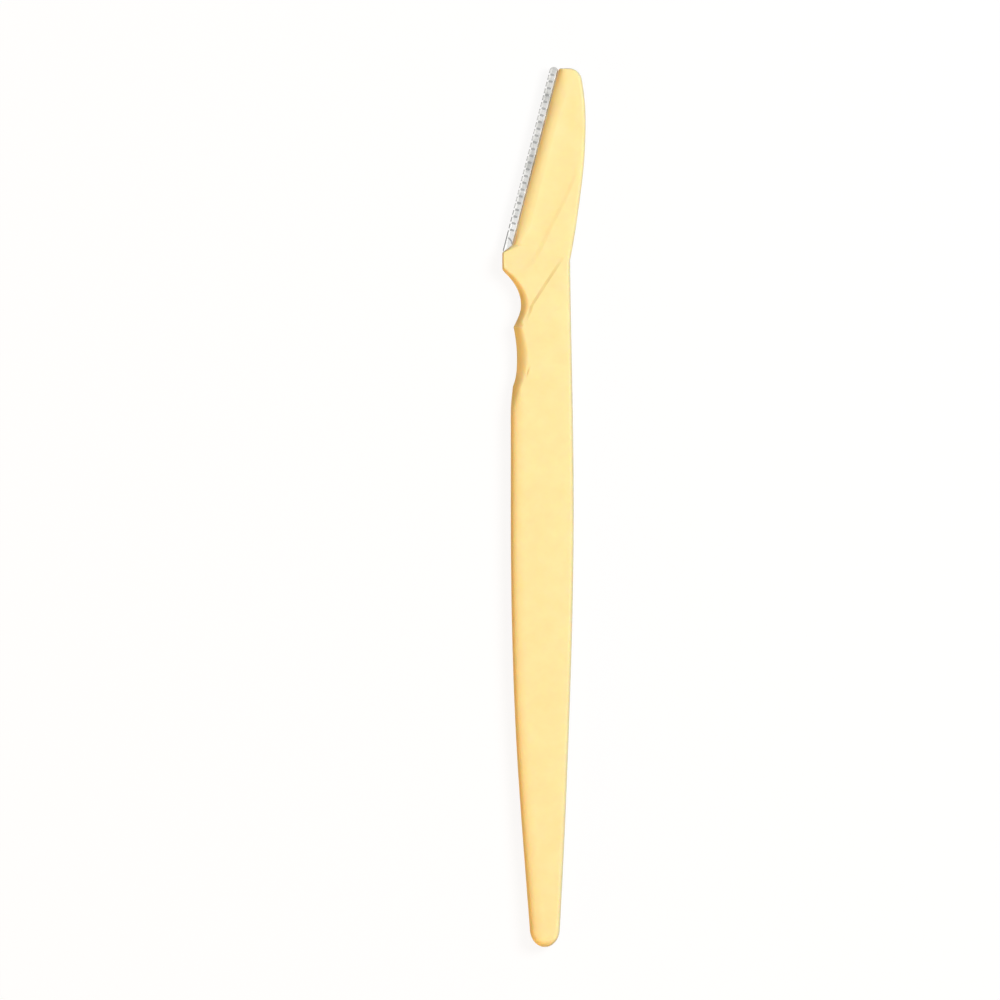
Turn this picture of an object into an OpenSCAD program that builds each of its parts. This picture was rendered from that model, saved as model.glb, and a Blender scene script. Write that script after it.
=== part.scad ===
// Eyebrow razor. A one-piece moulded handle swells from a narrow tail to a flat grip,
// is waisted by two finger notches and ends in a curved head. A stainless blade lies
// inside a folded comb guard along the head's straight side, and a clamp plate staked
// on the back of the head holds both. All lengths are in millimetres.
// X runs from the blade side to the spine side, Y from the tail to the tip,
// and Z out of the front face.

/* [Grip] */
// Length from the tail to the shoulder below the finger notches
grip_length = 95.6; // [85:0.1:110]
// Width of the grip where it is widest
grip_width = 10.7; // [9.6:0.1:12]
// Thickness of the grip
grip_thickness = 4.2; // [3.8:0.1:5]
// Width of the tail where its round end starts
tail_width = 5.1; // [4:0.1:7]
// Length of the tail's round end
tail_round = 3.2; // [2.4:0.1:4.5]
// Distance from the grip's axis to the tail's, towards the spine
tail_shift = 0.44; // [0:0.01:0.8]
// Width of the rounding along the grip's blade side, which is twice the spine side's
grip_edge = 2.3; // [1.6:0.05:2.6]

/* [Finger notches] */
// Length of the notch for the thumb, next to the grip
lower_notch_length = 10.1; // [8:0.1:13]
// Depth of that notch below the grip's side
lower_notch_depth = 1.05; // [0.5:0.05:1.4]
// Depth of the nub between the notches below the grip's side
nub_depth = 0.47; // [0.2:0.01:0.8]
// Length of the notch next to the head
upper_notch_length = 9.5; // [8:0.1:12]
// Depth of that notch below the grip's side
upper_notch_depth = 1.74; // [1.2:0.02:2.2]
// Width of the sloping wall round the notches
notch_wall = 1; // [0.6:0.05:1.3]
// Height of the small step at the foot of the thumb notch
thumb_step = 0.2; // [0.05:0.01:0.25]

/* [Head] */
// Distance from the axis to the heel's outer side
heel_reach = 6.8; // [6.3:0.1:7.4]
// Length of the heel below the ledge that the blade ends on
heel_length = 3.2; // [2.6:0.1:4.5]
// Rise of the ledge from the heel's outer side to the blade line
ledge_rise = 1.4; // [1:0.05:1.8]
// Depth of the ledge, across the razor
ledge_depth = 1.9; // [1.7:0.05:2.1]
// Length of the head above the ledge
head_length = 30; // [26:0.5:36]
// Distance from the axis to the spine where the head curves out most
spine_reach = 7.4; // [7:0.1:8.4]
// Distance from the axis to the spine in the hollow of the neck
neck_reach = 4.73; // [4.4:0.01:5.2]
// Thickness of the head
head_thickness = 3.6; // [3:0.1:3.8]
// Thickness of the head's edge along the blade
lip_thickness = 1.4; // [1.2:0.05:1.8]
// Width of the bevel between the head's face and its edge along the blade
lip_bevel = 1.5; // [1:0.05:2]
// Depth of the shallow scoop in the head's front face
scoop_depth = 0.2; // [0.05:0.01:0.3]
// Extra depth in the middle of the scoop
scoop_dish = 0.12; // [0:0.01:0.2]
// Length of the tip's rounding on the spine side
tip_spine_round = 1.8; // [1:0.1:2.4]
// Length of the tip's rounding on the blade side
tip_blade_round = 0.3; // [0.2:0.05:0.6]

/* [Blade] */
// Angle between the blade line and the razor's axis, in degrees
blade_lean = 14.55; // [12:0.05:16]
// Thickness of the blade
blade_thickness = 0.2; // [0.15:0.01:0.25]
// Width of the ground bevel behind the cutting edge
grind_width = 0.6; // [0.4:0.05:0.75]
// Distance from the edges of the tang in the head to those of the clamp plate
tang_margin = 0.4; // [0.2:0.05:0.8]
// Distance from the guard's fold back to the cutting edge
edge_inset = 0.3; // [0.27:0.01:0.4]

/* [Guard] */
// Distance that the guard's fold stands out of the head
guard_reach = 1.5; // [1.3:0.05:1.8]
// Thickness of the guard's sheet
guard_sheet = 0.13; // [0.1:0.01:0.15]
// Thickness over the guard where its slopes end
guard_height = 0.6; // [0.58:0.02:0.8]
// Thickness of the guard at its fold
guard_nose = 0.24; // [0.2:0.01:0.26]
// Width of the slope on each side of the fold
guard_slope = 0.5; // [0.45:0.05:0.7]
// Distance from one comb slot to the next
slot_pitch = 1.19; // [1:0.01:1.5]
// Width of a comb slot
slot_width = 0.36; // [0.25:0.01:0.5]
// Width of the uncut rail between the slots and the head
rail_width = 0.5; // [0.4:0.02:0.6]
// Height of the metal's round end above the head's tip
tip_overhang = 0.25; // [0.2:0.05:0.8]

/* [Clamp plate] */
// Width of the clamp plate
plate_width = 4.4; // [4.2:0.1:4.8]
// Width of the clamp plate at its end near the tip
plate_tip_width = 2.1; // [1.8:0.1:2.5]
// Gap round the plate and round the metal in the head
fit_gap = 0.06; // [0.03:0.01:0.1]
// Diameter of the staking posts
post_d = 1.5; // [1.2:0.05:1.7]
// Diameter of a post's flattened head
stake_d = 2.3; // [2:0.05:2.5]
// Thickness of a post's flattened head
stake_height = 0.5; // [0.3:0.05:0.6]
// Number of staking posts
post_count = 3; // [2:1:4]

/* [Hidden] */
$fn = 48;

// Extra length of every cut past the surface that it leaves through
overrun = 1;

// Heights along the razor, counted from the tail
shoulder_y = grip_length;
nub_y = shoulder_y + lower_notch_length;
heel_y = nub_y + upper_notch_length;
ledge_y = heel_y + heel_length;
blade_y = ledge_y + ledge_rise;
tip_y = blade_y + head_length;

// Heights that lie inside those lengths, as shares of them
taper_y = grip_length * 0.3;
widest_y = grip_length * 0.78;
side_end_y = grip_length * 0.952;
thumb_y = shoulder_y + lower_notch_length * 0.49;
finger_y = nub_y + upper_notch_length * 0.39;
flare_y = nub_y + upper_notch_length * 0.92;
heel_round_y = heel_y + heel_length * 0.25;
neck_y = heel_y + heel_length * 0.55;
bevel_full_y = blade_y + ledge_rise * 2.6;
spine_mid_y = blade_y + head_length * 0.34;
spine_y = blade_y + head_length * 0.69;
spine_end_y = tip_y - tip_spine_round;

// Distances across the razor
half_grip = grip_width / 2;
half_tail = tail_width / 2;
blade_x = ledge_depth - heel_reach;
tip_left_x = blade_x + head_length * tan(blade_lean);
tip_right_x = spine_reach * 0.865;

// Half thicknesses, counted from the plane of the blade
grip_half = grip_thickness / 2;
head_half = head_thickness / 2;
lip_half = lip_thickness / 2;
stack_half = blade_thickness / 2 + guard_sheet;
// The long edges keep a narrow flat of this half height
edge_half = grip_thickness * 0.09;
end_flat_share = 0.12;
// Knee of the bevel along the blade, which the clamp plate carries on
bevel_knee_share = 0.35;

// Slopes of the outline, as sideways travel for each length travelled along the razor
tail_slope_share = 0.078;
taper_slope_share = 0.067;
spine_taper_slope_share = 0.039;
shoulder_slope_shares = [0.1, 0.42];
nub_slope_shares = [-0.2, 0.52];
flare_slope_shares = [-0.95, -1.15];
heel_slope_share = -0.9;
ledge_slope_share = ledge_depth / ledge_rise;
neck_slope_shares = [-0.012, 0.2];
spine_slope_share = 0.125;
spine_end_slope_share = -0.2;

// Number of flats across a wall, and of slices through a rounded end
wall_steps = 6;
end_steps = 7;

// A value that changes smoothly between two knots. A knot is a height, the value there,
// and the slopes with which the curve reaches and leaves it.
function blend_knots(a, b, y) =
    let (
        span = b[0] - a[0],
        t = max(0, min(1, (y - a[0]) / span))
    )
    a[1] * (1 - t) * (1 - t) * (1 + 2 * t)
    + b[1] * t * t * (3 - 2 * t)
    + a[3] * span * t * (1 - t) * (1 - t)
    - b[2] * span * t * t * (1 - t);

function follow(knots, y, i = 0) =
    i >= len(knots) - 2 || y <= knots[i + 1][0]
        ? blend_knots(knots[i], knots[i + 1], y)
        : follow(knots, y, i + 1);

function level(y, value) = [y, value, 0, 0];

function ramp(y, value, slope) = [y, value, slope, slope];

function steps(from, to, count) =
    [for (i = [0 : count - 1]) from + (to - from) * i / count];

function mix(a, b, share) = a + (b - a) * share;

// The blade side of the outline
left_knots = [
    ramp(tail_round, tail_shift - half_tail, -tail_slope_share),
    ramp(taper_y, -half_grip * 0.753, -taper_slope_share),
    level(widest_y, -half_grip),
    level(side_end_y, -half_grip),
    [shoulder_y, -half_grip * 0.932, shoulder_slope_shares[0], shoulder_slope_shares[1]],
    level(thumb_y, lower_notch_depth - half_grip),
    [nub_y, nub_depth - half_grip, nub_slope_shares[0], nub_slope_shares[1]],
    level(finger_y, upper_notch_depth - half_grip),
    [flare_y, -heel_reach * 0.86, flare_slope_shares[0], flare_slope_shares[1]],
    ramp(heel_y, -heel_reach * 0.965, heel_slope_share),
    level(heel_round_y, -heel_reach),
    [ledge_y, -heel_reach, 0, ledge_slope_share],
    [blade_y, blade_x, ledge_slope_share, tan(blade_lean)],
    ramp(tip_y, tip_left_x, tan(blade_lean))
];

// The spine side of the outline
right_knots = [
    ramp(tail_round, tail_shift + half_tail, tail_slope_share * 0.7),
    ramp(taper_y, half_grip * 0.785, spine_taper_slope_share),
    level(widest_y, half_grip),
    [neck_y, neck_reach, neck_slope_shares[0], neck_slope_shares[1]],
    ramp(spine_mid_y, spine_reach * 0.911, spine_slope_share),
    level(spine_y, spine_reach),
    ramp(spine_end_y, spine_reach * 0.908, spine_end_slope_share),
    ramp(tip_y, tip_right_x, spine_end_slope_share)
];

// Width of the sloping or rounded wall along the blade side, across that wall
left_wall_knots = [
    level(side_end_y, grip_edge),
    level(shoulder_y, notch_wall * 1.5),
    level(thumb_y, notch_wall * 2),
    level(nub_y, notch_wall * 1.1),
    level(nub_y + notch_wall, notch_wall * 0.8),
    level(finger_y, notch_wall * 1.3),
    level(heel_y, notch_wall),
    level(heel_round_y, notch_wall),
    level(ledge_y, notch_wall * 0.8),
    level(blade_y, notch_wall * 0.8),
    level(bevel_full_y, lip_bevel)
];

// Width of the rounding along the spine side
right_wall_knots = [
    level(widest_y, grip_edge * 0.5),
    level(neck_y, grip_edge * 0.42),
    level(spine_y, grip_edge * 0.42)
];

// Knee of the blade side's wall: at 0 it stands up from its edge and rounds over like a
// quarter round, and a larger share leans it, so that it starts as a chamfer
left_knee_knots = [
    level(side_end_y, 0),
    level(shoulder_y, 0.4),
    level(nub_y, 0.5),
    level(flare_y, 0.5),
    level(heel_y, 0.2),
    level(blade_y, 0.2),
    level(bevel_full_y, bevel_knee_share)
];

// Half height of the flat that is left at the edge of the blade side
left_edge_knots = [
    level(side_end_y, edge_half),
    level(finger_y, edge_half),
    level(ledge_y, lip_half),
    level(blade_y, lip_half)
];

// Face height on the spine side of the diagonal step, which runs out in the neck
step_top_y = neck_y + heel_length * 0.2;
spine_face_knots = [
    level(mix(nub_y, step_top_y, 0.45), grip_half),
    level(step_top_y + heel_length * 0.4, head_half)
];

// Face height on the blade side of that step
thumb_foot_y = shoulder_y + lower_notch_length * 0.12;
thumb_step_y = shoulder_y + lower_notch_length * 0.17;
thumb_end_y = shoulder_y + lower_notch_length * 0.36;
blade_face_knots = [
    level(thumb_foot_y, grip_half),
    level(thumb_step_y, grip_half - thumb_step),
    level(thumb_end_y, grip_half),
    level(nub_y + notch_wall * 0.4, grip_half),
    level(nub_y + notch_wall * 2.4, head_half)
];

// Line of the diagonal step, and of the short one at the foot of the thumb notch
step_knots = [
    ramp(nub_y, -half_grip * 0.9, 0.6),
    ramp(nub_y + notch_wall, -half_grip * 0.7, 0.62),
    ramp(step_top_y, half_grip * 0.61, 0.66)
];
thumb_line_knots = [
    ramp(thumb_foot_y, -half_grip * 0.78, 0.8),
    ramp(thumb_end_y, -half_grip * 0.36, 0.9)
];
step_wall = notch_wall * 0.5;

// Line of the scoop's edge, which starts in a short hook and runs out at the spine
scoop_start_y = heel_y;
scoop_end_y = blade_y + head_length * 0.55;
scoop_line_knots = [
    ramp(scoop_start_y, -half_grip * 0.66, 1.8),
    ramp(scoop_start_y + heel_length * 0.5, -half_grip * 0.31, 0.62),
    ramp(blade_y + head_length * 0.1, half_grip * 0.26, 0.52),
    ramp(blade_y + head_length * 0.4, spine_reach * 0.75, 0.33),
    ramp(scoop_end_y, spine_reach * 0.82, 0.12)
];
scoop_wall = scoop_depth * 4.5;
scoop_depth_knots = [
    level(scoop_start_y, 0),
    level(heel_y + heel_length * 0.9, scoop_depth),
    level(blade_y + head_length * 0.3, scoop_depth),
    level(scoop_end_y, 0)
];
scoop_dish_knots = [
    level(scoop_start_y, 0),
    level(blade_y + head_length * 0.15, scoop_dish),
    level(scoop_end_y, scoop_dish),
    level(tip_y, 0)
];

// Share of its full size that an end rounded over a length has at a distance from that end
function end_share(distance, length) =
    distance >= length
        ? 1
        : mix(end_flat_share, 1, sqrt(max(0, 1 - pow(1 - distance / length, 2))));

// How far a corner of the tip that is rounded over a length draws the outline in
function corner_draw(y, length) =
    let (t = max(0, 1 - (tip_y - y) / length))
    length * (1 - sqrt(max(0, 1 - t * t)));

function left_x(y) =
    y < tail_round
        ? tail_shift - half_tail * end_share(y, tail_round)
        : follow(left_knots, y) + corner_draw(y, tip_blade_round);

function right_x(y) =
    y < tail_round
        ? tail_shift + half_tail * end_share(y, tail_round)
        : follow(right_knots, y) - corner_draw(y, tip_spine_round);

// How much wider a wall of the blade side is when it is measured straight across the razor
probe = tail_round / 100;

function left_stretch(y) =
    let (slope = (left_x(y + probe) - left_x(y - probe)) / (2 * probe))
    y < tail_round || y > tip_y - tip_blade_round ? 1 : sqrt(1 + slope * slope);

function end_thinning(y) = min(end_share(y, grip_half), end_share(tip_y - y, lip_half * 0.2));

function held(value, low, high) = max(low, min(high, value));

// Five columns of points cross the face between the two walls. The last two are the foot
// and the top of the diagonal step. On the head the others are the middle of the scoop
// and the foot and top of its edge, and elsewhere they are spread over the face.
function columns(y, inner, outer) =
    let (
        face = outer - inner,
        least = face * 0.01,
        scoop_rise = min(scoop_wall, face * 0.16),
        on_thumb = y >= thumb_foot_y && y <= thumb_end_y,
        on_step = y >= nub_y && y <= step_top_y,
        on_scoop = y >= scoop_start_y,
        scoop_line = follow(scoop_line_knots, y) - scoop_rise / 2,
        scoop = held(scoop_line, inner + least, outer - scoop_rise - 4 * least),
        floor_x = on_scoop ? scoop + scoop_rise : inner,
        step_rise = min(step_wall, (outer - floor_x) * 0.25),
        step_line = on_thumb
            ? follow(thumb_line_knots, y)
            : on_step ? follow(step_knots, y) : mix(floor_x, outer, 0.5),
        step = held(step_line, floor_x + least, outer - step_rise - least)
    )
    on_scoop
        ? [mix(inner, scoop, 0.5), scoop, floor_x, step, step + step_rise]
        : [mix(inner, step, 0.25), mix(inner, step, 0.5), mix(inner, step, 0.75), step, step + step_rise];

// A wall seen in section. It leaves its edge towards the knee, which lies that share of
// the way across at the height of the face, and comes in level with the face.
function wall_points(edge_x, edge_z, face_x, face_z, knee) = [
    for (i = [0 : wall_steps])
    let (
        share = i / wall_steps,
        across = 2 * share * (1 - share) * knee + share * share,
        up = 1 - (1 - share) * (1 - share)
    )
    [mix(edge_x, face_x, across), mix(edge_z, face_z, up)]
];

// The front outline of one slice, from the blade side to the spine side
function half_slice(y, scooped) =
    let (
        thin = end_thinning(y),
        left = left_x(y),
        right = right_x(y),
        room = right - left,
        inner = left + min(follow(left_wall_knots, y) * left_stretch(y), room * 0.45),
        outer = right - min(follow(right_wall_knots, y), room * 0.35),
        low_face = follow(blade_face_knots, y) * thin,
        high_face = follow(spine_face_knots, y) * thin,
        drop = scooped ? follow(scoop_depth_knots, y) * thin : 0,
        dish = scooped ? follow(scoop_dish_knots, y) * thin : 0,
        x = columns(y, inner, outer),
        left_edge = follow(left_edge_knots, y) * thin,
        right_wall = wall_points(right, edge_half * thin, outer, high_face, 0)
    )
    concat(
        wall_points(left, left_edge, inner, low_face - drop, follow(left_knee_knots, y)),
        [
            [x[0], low_face - drop - dish],
            [x[1], low_face - drop],
            [x[2], low_face],
            [x[3], low_face],
            [x[4], high_face]
        ],
        [for (i = [wall_steps : -1 : 0]) right_wall[i]]
    );

function slice(y) =
    let (
        front = half_slice(y, true),
        back = half_slice(y, false)
    )
    concat(
        [for (p = front) [p[0], y, p[1]]],
        [for (i = [len(back) - 1 : -1 : 0]) [back[i][0], y, -back[i][1]]]
    );

// Heights of the slices, closer where the outline turns
slices = concat(
    [for (i = [0 : end_steps - 1]) tail_round * (1 - cos(90 * i / end_steps))],
    steps(tail_round, taper_y, 6),
    steps(taper_y, widest_y, 9),
    steps(widest_y, side_end_y, 2),
    steps(side_end_y, shoulder_y, 4),
    steps(shoulder_y, thumb_foot_y, 2),
    steps(thumb_foot_y, thumb_step_y, 2),
    steps(thumb_step_y, thumb_end_y, 3),
    steps(thumb_end_y, thumb_y, 2),
    steps(thumb_y, nub_y, 5),
    steps(nub_y, finger_y, 6),
    steps(finger_y, flare_y, 7),
    steps(flare_y, heel_y, 2),
    steps(heel_y, heel_round_y, 2),
    steps(heel_round_y, neck_y, 2),
    steps(neck_y, step_top_y, 1),
    steps(step_top_y, ledge_y, 1),
    steps(ledge_y, blade_y, 3),
    steps(blade_y, bevel_full_y, 6),
    steps(bevel_full_y, spine_end_y, 13),
    [for (i = [0 : end_steps - 1]) spine_end_y + tip_spine_round * sin(90 * i / end_steps)],
    [tip_y]
);

module loft() {
    rings = [for (y = slices) slice(y)];
    count = len(rings[0]);
    last = len(rings) - 1;
    points = [for (ring = rings) each ring];
    sides = [
        for (i = [0 : last - 1])
        for (j = [0 : count - 1])
        let (
            a = i * count + j,
            b = i * count + (j + 1) % count,
            c = b + count,
            d = a + count
        )
        each [[a, c, b], [a, d, c]]
    ];
    tail_cap = [for (j = [0 : count - 1]) j];
    tip_cap = [for (j = [count - 1 : -1 : 0]) last * count + j];
    polyhedron(points = points, faces = concat(sides, [tail_cap, tip_cap]));
}

// The blade line's own frame: X into the head from its edge, Y up along the edge
// from the ledge, Z out of the front face
module on_blade_line() {
    translate([blade_x, blade_y, 0]) rotate([0, 0, -blade_lean]) children();
}

// Sweeps a profile, drawn across the blade line, along that line
module along_blade(from, to) {
    translate([0, to, 0]) rotate([90, 0, 0]) linear_extrude(height = to - from) children();
}

// A flat outline on the blade line, cut out between two heights
module plate(low, high) {
    translate([0, 0, low]) linear_extrude(height = high - low) children();
}

// Lengths along the blade line
head_edge = head_length / cos(blade_lean);
plate_low = head_edge * 0.035;
plate_bend = head_edge * 0.68;
plate_high = head_edge * 0.935;
tang_width = plate_width - tang_margin;
end_r = guard_reach / 2;
metal_end = (head_length + tip_overhang - end_r - end_r * sin(blade_lean)) / cos(blade_lean);
ledge_fall = ledge_depth * sin(blade_lean) + ledge_rise * cos(blade_lean);
ledge_out = ledge_depth * cos(blade_lean) - ledge_rise * sin(blade_lean);

// Outline of the clamp plate, grown by a gap for its pocket
module plate_outline(gap) {
    polygon([
        [-overrun, plate_low - gap],
        [plate_width + gap, plate_low - gap],
        [plate_width + gap, plate_bend],
        [plate_tip_width + gap, plate_high + gap],
        [-overrun, plate_high + gap]
    ]);
}

// Outline of the tang that blade and guard share inside the head
module tang_outline(gap, width) {
    low = plate_low + tang_margin;
    high = plate_high - tang_margin;
    tip_width = plate_tip_width - tang_margin;
    polygon([
        [-overrun / 2, low - gap],
        [width + gap, low - gap],
        [width + gap, plate_bend],
        [tip_width + gap, high + gap],
        [-overrun / 2, high + gap]
    ]);
}

// The metal sheets' flat form as a solid: the reach that stands out of the head,
// from the ledge to its round end, and the tang inside the head
module metal_form(half, width) {
    plate(-half, half) polygon([
        [0, fit_gap],
        [-ledge_out * 0.93, -ledge_fall * 0.9],
        [-guard_reach - overrun, 0],
        [-guard_reach - overrun, metal_end],
        [0, metal_end]
    ]);
    plate(-half, half) tang_outline(0, width);
    translate([-end_r, metal_end, -half]) cylinder(h = 2 * half, r = end_r);
}

// Places of the staking posts along the blade line
post_x = plate_width * 0.56;
post_from = plate_low + plate_width / 2;
post_to = plate_bend - plate_low / 2;
posts = [for (i = [0 : post_count - 1]) post_from + (post_to - post_from) * i / (post_count - 1)];

module at_posts() {
    for (y = posts) translate([post_x, y, 0]) children();
}

module post_holes() {
    at_posts() cylinder(h = grip_thickness, d = post_d + 2 * fit_gap, center = true);
}

module handle() {
    color("khaki") {
        difference() {
            loft();
            on_blade_line() {
                plate(-head_half - overrun, -stack_half) plate_outline(fit_gap);
                plate(-head_half, stack_half) tang_outline(fit_gap, tang_width);
            }
        }
        on_blade_line() at_posts() {
            translate([0, 0, -head_half]) cylinder(h = head_half + lip_half, d = post_d);
            translate([0, 0, -head_half]) cylinder(h = stake_height - fit_gap, d = stake_d - fit_gap);
        }
    }
}

// Blade, with its cutting edge ground from both faces
cutting_x = edge_inset - guard_reach;

module blade_profile() {
    half = blade_thickness / 2;
    polygon([
        [cutting_x, 0],
        [cutting_x + grind_width, -half],
        [tang_width, -half],
        [tang_width, half],
        [cutting_x + grind_width, half]
    ]);
}

module blade() {
    color("silver") on_blade_line() difference() {
        intersection() {
            along_blade(-ledge_fall, head_edge + overrun) blade_profile();
            metal_form(blade_thickness, tang_width);
        }
        post_holes();
    }
}

// Guard: one sheet folded round the cutting edge, with a comb of slots across the fold
guard_bend = rail_width * 0.2;
guard_bend_top = rail_width * 0.48;
guard_tang = tang_width - tang_margin;

module guard_skin(nose_x, inset) {
    shoulder = guard_height / 2 - inset;
    leg = stack_half - inset;
    upper = [
        [guard_slope - guard_reach, shoulder],
        [-guard_bend_top, shoulder],
        [-guard_bend, leg],
        [guard_tang + (inset > 0 ? overrun : 0), leg]
    ];
    nose = inset > 0 ? 0 : guard_nose / 2;
    polygon(concat(
        [[nose_x, nose]],
        upper,
        [for (i = [len(upper) - 1 : -1 : 0]) [upper[i][0], -upper[i][1]]],
        nose > 0 ? [[nose_x, -nose]] : []
    ));
}

module guard_fold() {
    nose_x = guard_nose / 2 - guard_reach;
    from = -ledge_fall;
    to = head_edge + overrun;
    difference() {
        union() {
            along_blade(from, to) guard_skin(nose_x, 0);
            along_blade(from, to) translate([nose_x, 0]) circle(d = guard_nose);
        }
        along_blade(from - overrun, to + overrun) guard_skin(guard_nose - guard_reach, guard_sheet);
    }
}

slot_first = slot_pitch * 1.9;
slot_count = floor((metal_end - slot_first) / slot_pitch) + 1;

module comb_slots() {
    depth = guard_reach - rail_width - slot_width / 2;
    for (i = [0 : slot_count - 1]) translate([-guard_reach, slot_first + i * slot_pitch, 0]) {
        translate([-overrun, -slot_width / 2, -guard_height])
            cube([depth + overrun, slot_width, 2 * guard_height]);
        translate([depth, 0, 0]) cylinder(h = 2 * guard_height, d = slot_width, center = true);
    }
}

// Curved slot that frees the guard's end tab above the ledge: a stretch of a ring
tab_r = ledge_out * 0.75;
tab_centre = [-guard_reach * 0.86, -ledge_fall * 0.03, 0];
tab_from_angle = 12;
tab_arc_angle = 62;

module tab_slot() {
    translate(tab_centre)
        rotate([0, 0, tab_from_angle])
            rotate_extrude(angle = tab_arc_angle)
                translate([tab_r - slot_width / 4, -guard_height])
                    square([slot_width / 2, 2 * guard_height]);
}

module guard() {
    color("gainsboro") on_blade_line() difference() {
        intersection() {
            guard_fold();
            metal_form(guard_height, guard_tang);
        }
        comb_slots();
        tab_slot();
        post_holes();
    }
}

// Clamp plate: its outer side carries on the head's bevel, at the bevel's full width
module clamp_profile() {
    polygon(concat(
        [[plate_width, -stack_half], [0, -stack_half]],
        [for (p = wall_points(0, lip_half, lip_bevel, head_half, bevel_knee_share)) [p[0], -p[1]]],
        [[plate_width, -head_half]]
    ));
}

module clamp_plate() {
    color("khaki") on_blade_line() difference() {
        intersection() {
            along_blade(plate_low, plate_high) clamp_profile();
            plate(-head_half, 0) plate_outline(0);
        }
        post_holes();
        at_posts() translate([0, 0, -head_half - overrun])
            cylinder(h = stake_height + overrun, d = stake_d + fit_gap);
    }
}

// The origin lies under the middle of the whole razor, on the plane that it rests on
left_most = -heel_reach;
top_most = tip_y + tip_overhang;

module placed() {
    translate([-(left_most + spine_reach) / 2, -top_most / 2, grip_half]) children();
}

placed() handle();
placed() blade();
placed() guard();
placed() clamp_plate();
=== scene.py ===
# %% [markdown]
# # An eyebrow razor
# The real object is one slim plastic moulding with a strip of steel in its head. The packed
# model is the fixed frame: it says where every piece lies, and nothing in it is moved. This
# lesson builds the finished look around it, one piece and one finish at a time.

# %% Load the frame
import math
import bpy
import numpy as np
from mathutils import Matrix, Vector


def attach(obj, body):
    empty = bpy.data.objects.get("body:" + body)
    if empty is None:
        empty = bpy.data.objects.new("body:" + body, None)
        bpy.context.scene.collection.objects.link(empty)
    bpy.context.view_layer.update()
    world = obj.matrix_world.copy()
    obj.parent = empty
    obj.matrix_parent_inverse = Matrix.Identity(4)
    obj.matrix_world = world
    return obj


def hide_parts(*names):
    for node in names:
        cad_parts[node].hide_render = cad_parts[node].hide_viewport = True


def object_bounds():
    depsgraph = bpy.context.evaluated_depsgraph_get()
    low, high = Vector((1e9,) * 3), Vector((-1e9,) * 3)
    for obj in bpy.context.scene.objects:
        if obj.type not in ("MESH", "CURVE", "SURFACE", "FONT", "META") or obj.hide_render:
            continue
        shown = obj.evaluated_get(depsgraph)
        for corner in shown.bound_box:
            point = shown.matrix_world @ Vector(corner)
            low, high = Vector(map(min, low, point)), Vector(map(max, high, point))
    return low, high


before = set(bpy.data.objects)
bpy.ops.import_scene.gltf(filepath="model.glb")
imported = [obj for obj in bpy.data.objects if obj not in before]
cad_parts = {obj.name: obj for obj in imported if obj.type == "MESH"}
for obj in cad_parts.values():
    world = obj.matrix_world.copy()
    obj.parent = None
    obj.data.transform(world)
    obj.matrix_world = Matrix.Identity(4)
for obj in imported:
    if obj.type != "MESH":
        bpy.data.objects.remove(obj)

cad_low, cad_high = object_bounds()
print("frame box, in metres:", tuple(cad_low), tuple(cad_high))

# %% [markdown]
# ## Working in millimetres
# A razor is small, so every piece is drawn in millimetres and made smaller by a thousand at
# the end. The drawing's own frame has X across the razor from its long axis, Y along it
# from the tail, and Z out of the front face from the plane of the blade. The frame's box
# says where that drawing frame lies.

# %% The drawing frame
MM = 0.001
heel_reach = 6.8
grip_thickness = round((cad_high.z - cad_low.z) / MM, 3)
axis_x = cad_low.x / MM + heel_reach
tail_y = cad_low.y / MM
blade_z = grip_thickness / 2


def resized(factor):
    return Matrix.Diagonal((factor, factor, factor, 1))


to_frame = resized(MM) @ Matrix.Translation((axis_x, tail_y, blade_z))
print("drawing origin, in mm:", axis_x, tail_y, blade_z)

# %% [markdown]
# ## The camera
# The razor is seen square on from the front. An orthographic camera keeps its long sides
# parallel, as a long lens far away does. It looks straight down on the front face, and its
# centre stands a little beside the razor's own middle. The Standard view transform shows a
# colour as it is written.

# %% Camera
frame_width = 0.1705
camera_centre = Vector((-0.0075, 0.001175, 0.5))
camera_data = bpy.data.cameras.new("front_camera")
camera_data.type = "ORTHO"
camera_data.ortho_scale = frame_width
camera = bpy.data.objects.new("front_camera", camera_data)
camera.location = camera_centre
bpy.context.scene.collection.objects.link(camera)
bpy.context.scene.camera = camera
bpy.context.scene.view_settings.view_transform = "Standard"
print("camera looks down from", tuple(camera.location))

# %% [markdown]
# ## Curves through knots
# The outline and the section change slowly along the razor. Each of them is a curve through
# a few knots. A knot is a height, the value there, and the slopes with which the curve
# reaches and leaves it, so one knot can also be a corner.

# %% Knot curves
def level(y, value):
    return (y, value, 0.0, 0.0)


def level_knots(*places):
    return [level(y, value) for y, value in places]


def ramp(y, value, slope):
    return (y, value, slope, slope)


def follow(knots, y):
    knots = np.array(knots, float)
    index = np.clip(np.searchsorted(knots[:, 0], y) - 1, 0, len(knots) - 2)
    a = knots[index]
    b = knots[index + 1]
    span = b[:, 0] - a[:, 0]
    t = np.clip((y - a[:, 0]) / span, 0, 1)
    rest = 1 - t
    return (
        a[:, 1] * rest * rest * (1 + 2 * t)
        + b[:, 1] * t * t * (3 - 2 * t)
        + a[:, 3] * span * t * rest * rest
        - b[:, 2] * span * t * t * rest
    )


def mix(a, b, share):
    return a + (b - a) * share


# %% [markdown]
# ## Sizes of the handle
# These are sizes that the solid model was drawn with too. They are grouped as on the real
# handle: the grip, the two finger notches, and the head with its heel and ledge.

# %% Handle sizes
grip_length = 95.6
grip_width = 10.7
tail_width = 5.1
tail_round = 3.2
tail_shift = 0.44

lower_notch_length = 10.1
lower_notch_depth = 1.05
nub_depth = 0.47
upper_notch_length = 9.5
upper_notch_depth = 1.74

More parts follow.
